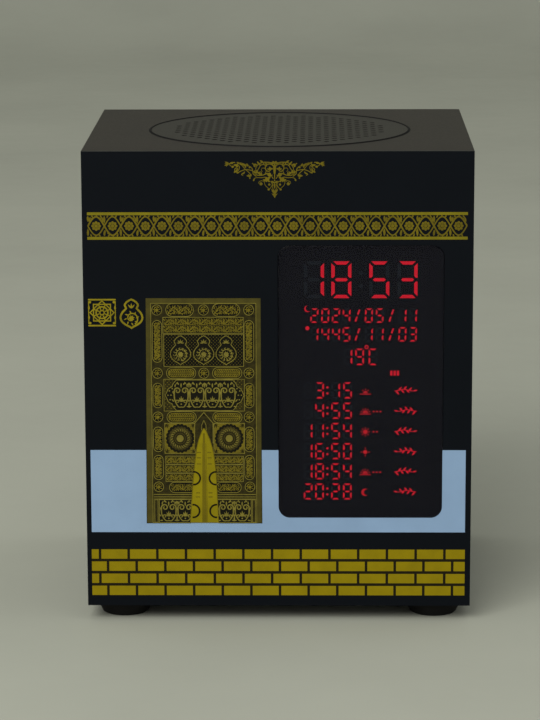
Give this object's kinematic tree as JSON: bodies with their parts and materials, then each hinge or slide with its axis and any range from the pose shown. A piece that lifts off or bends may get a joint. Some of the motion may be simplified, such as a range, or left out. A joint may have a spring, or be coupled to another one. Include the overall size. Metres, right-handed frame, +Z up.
{
  "type": "azan clock",
  "caption": "Upright prayer-time clock: printed front, smoked display window, round speaker grille in the top, rear keys, round feet.",
  "frame": {"origin": "middle of the bottom of the feet", "axes": "+X to the right seen from the front, +Y to the back, +Z up; the display faces -Y"},
  "size_m": [0.146, 0.125, 0.181],
  "materials": {
    "wrapped_board": "board wrapped in a matte dark brown-grey foil",
    "bare_board": "fibre board",
    "printed_sheet": "black sheet with a gold and white print",
    "smoked_window": "smoked, polished",
    "red_film": "tinted film",
    "black_moulding": "moulded, fine texture",
    "led": "lit red",
    "circuit_board": "green solder mask",
    "grille_steel": "matte dark powder coat",
    "plated_steel": "plated",
    "ferrite": "ground ferrite",
    "foam": "closed-cell foam",
    "paper_cone": "pressed paper pulp",
    "treated_cloth": "treated cloth",
    "copper_coil": "enamelled winding",
    "rubber_feet": "matte",
    "button_plastic": "moulded, satin",
    "cable_plastic": "cable insulation"
  },
  "bodies": {
    "cabinet": {"audio_jack": "black_moulding", "big_digit_leds": "led", "board_screws": "plated_steel", "board_standoffs": "plated_steel", "bottom_board": "wrapped_board", "capacitors": "plated_steel", "card_socket": "black_moulding", "chips": "black_moulding", "coin_cell": "plated_steel", "coin_cell_holder": "black_moulding", "connectors": "cable_plastic", "control_plate": "black_moulding", "corner_blocks": "bare_board", "display_diffuser": "red_film", "display_mask": "black_moulding", "display_ribbon": "cable_plastic", "display_screws": "plated_steel", "display_window": "smoked_window", "feet": "rubber_feet", "front_baffle": "bare_board", "front_sheet": "printed_sheet", "ir_receiver": "black_moulding", "led_board": "circuit_board", "left_side_board": "wrapped_board", "main_board": "circuit_board", "plate_screws": "plated_steel", "power_inlet": "plated_steel", "power_switch": "black_moulding", "probe_lead": "cable_plastic", "rear_panel": "bare_board", "rear_screws": "plated_steel", "right_side_board": "wrapped_board", "speaker_basket": "grille_steel", "speaker_gasket": "foam", "speaker_grille": "grille_steel", "speaker_lead": "cable_plastic", "speaker_magnet": "ferrite", "speaker_screws": "plated_steel", "speaker_spider": "treated_cloth", "speaker_surround": "foam", "speaker_terminals": "circuit_board", "speaker_top_plate": "plated_steel", "speaker_yoke": "plated_steel", "tact_switches": "black_moulding", "temperature_probe": "plated_steel", "top_board": "wrapped_board"},
    "diaphragm": {"voice_coil": "copper_coil", "speaker_cone": "paper_cone", "dust_cap": "paper_cone"},
    "switch_knob": {"power_switch_knob": "button_plastic"},
    "key_1": {"button_1": "button_plastic"},
    "key_2": {"button_2": "button_plastic"},
    "key_3": {"button_3": "button_plastic"},
    "key_4": {"button_4": "button_plastic"},
    "key_5": {"button_5": "button_plastic"}
  },
  "joints": [
    {"name": "cone_travel", "type": "slide", "parent": "cabinet", "child": "diaphragm", "axis": [0, 0, 1], "range_m": [-0.0012, 0.0012], "stiffness_N_per_m": 1500, "deforming": ["speaker_surround", "speaker_spider"]},
    {"name": "switch_slide", "type": "slide", "parent": "cabinet", "child": "switch_knob", "axis": [1, 0, 0], "range_m": [0, 0.0025]},
    {"name": "key_1_press", "type": "slide", "parent": "cabinet", "child": "key_1", "axis": [0, -1, 0], "range_m": [0, 0.0005], "stiffness_N_per_m": 3000},
    {"name": "key_2_press", "type": "slide", "parent": "cabinet", "child": "key_2", "axis": [0, -1, 0], "range_m": [0, 0.0005], "stiffness_N_per_m": 3000},
    {"name": "key_3_press", "type": "slide", "parent": "cabinet", "child": "key_3", "axis": [0, -1, 0], "range_m": [0, 0.0005], "stiffness_N_per_m": 3000},
    {"name": "key_4_press", "type": "slide", "parent": "cabinet", "child": "key_4", "axis": [0, -1, 0], "range_m": [0, 0.0005], "stiffness_N_per_m": 3000},
    {"name": "key_5_press", "type": "slide", "parent": "cabinet", "child": "key_5", "axis": [0, -1, 0], "range_m": [0, 0.0005], "stiffness_N_per_m": 3000}
  ]
}
